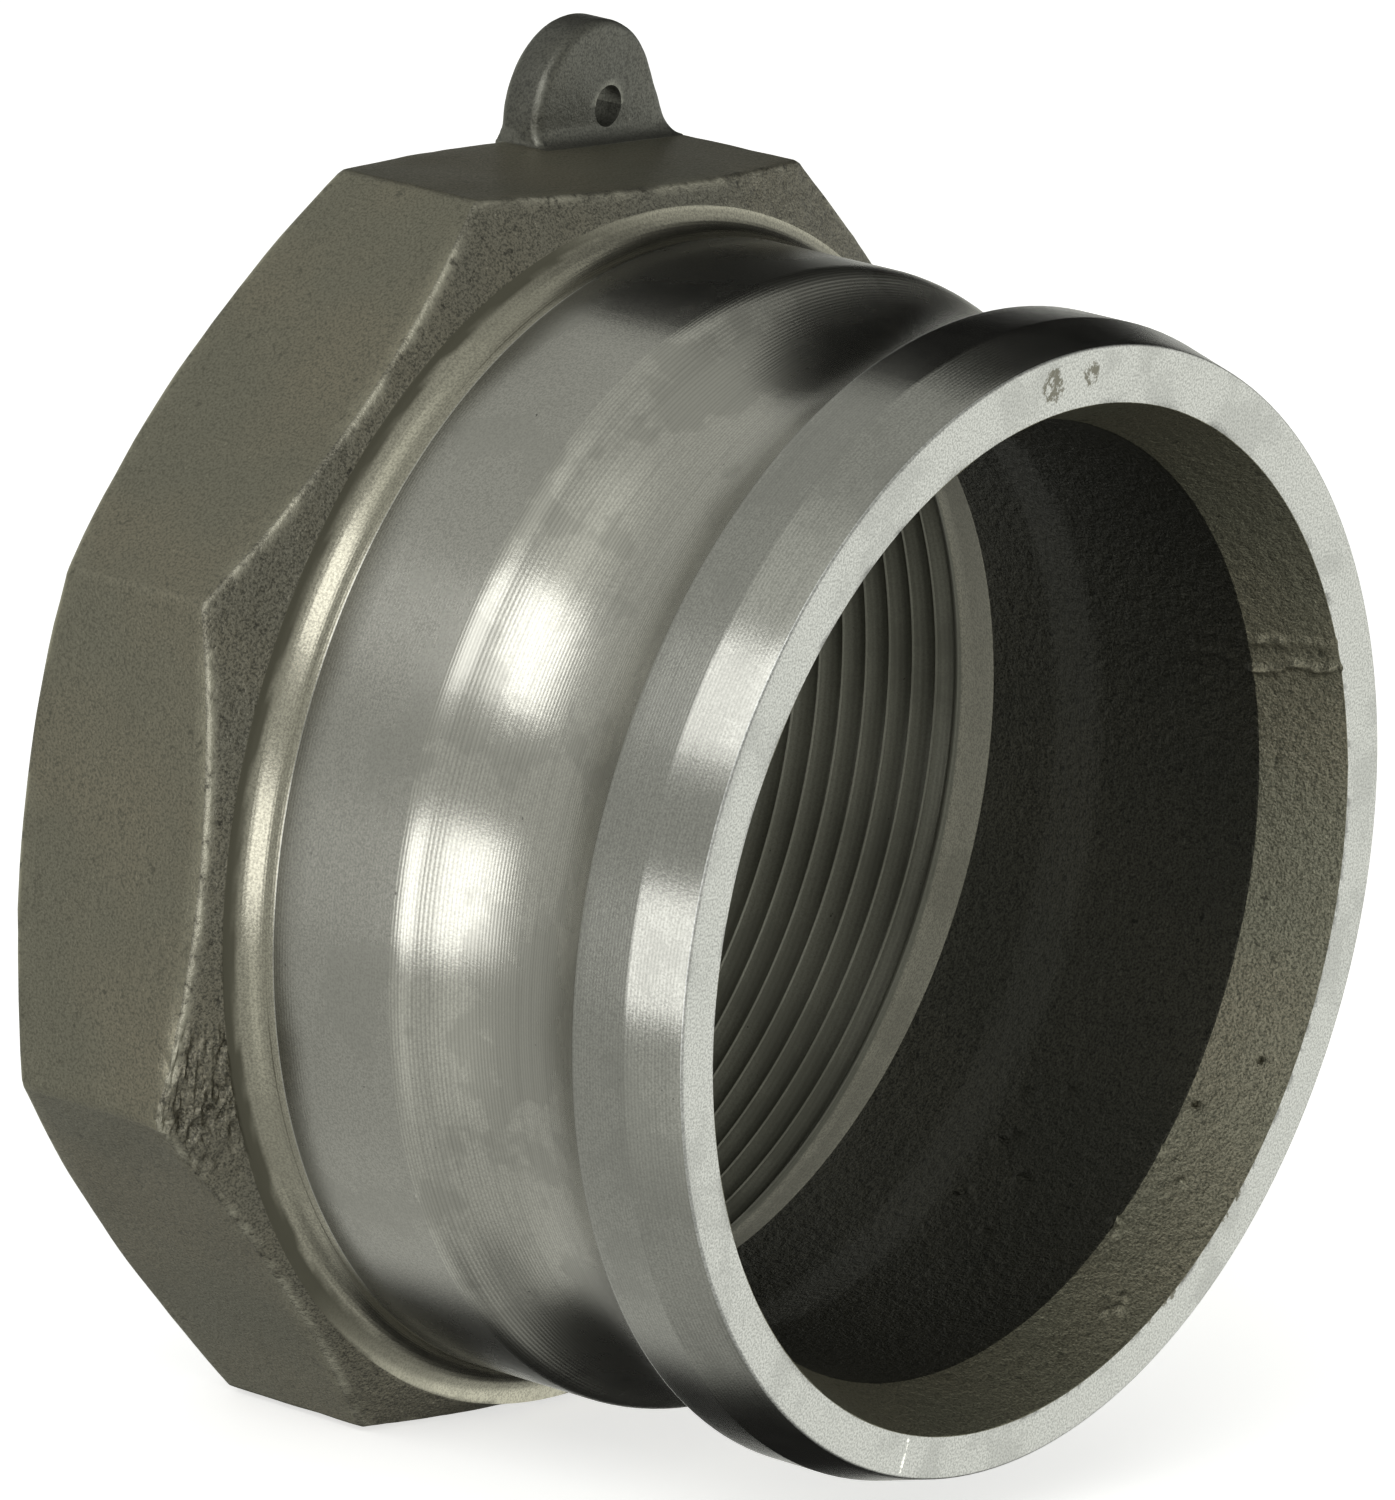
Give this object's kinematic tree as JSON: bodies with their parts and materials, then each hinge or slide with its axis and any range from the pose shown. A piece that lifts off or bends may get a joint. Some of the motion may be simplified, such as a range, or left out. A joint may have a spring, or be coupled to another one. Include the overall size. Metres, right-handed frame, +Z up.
{
  "type": "camlock pipe adapter",
  "caption": "Male cam-groove adapter for a hose coupler, with an octagonal wrench collar, an internal pipe thread and a small drilled lug for a cap chain.",
  "frame": {"origin": "on the bore axis, in the plane of the flat sealing face at the cam end", "axes": "+Y along the bore axis from the sealing face towards the threaded end, +Z up through the flat that carries the lug, +X to the side that the lug leans to"},
  "size_m": [0.128, 0.081, 0.1407],
  "materials": {
    "iron": "as cast and dark on the collar, lug and passage; turned bright on the spigot and the thread"
  },
  "bodies": {
    "root": {"adapter_body": "iron"}
  },
  "joints": []
}
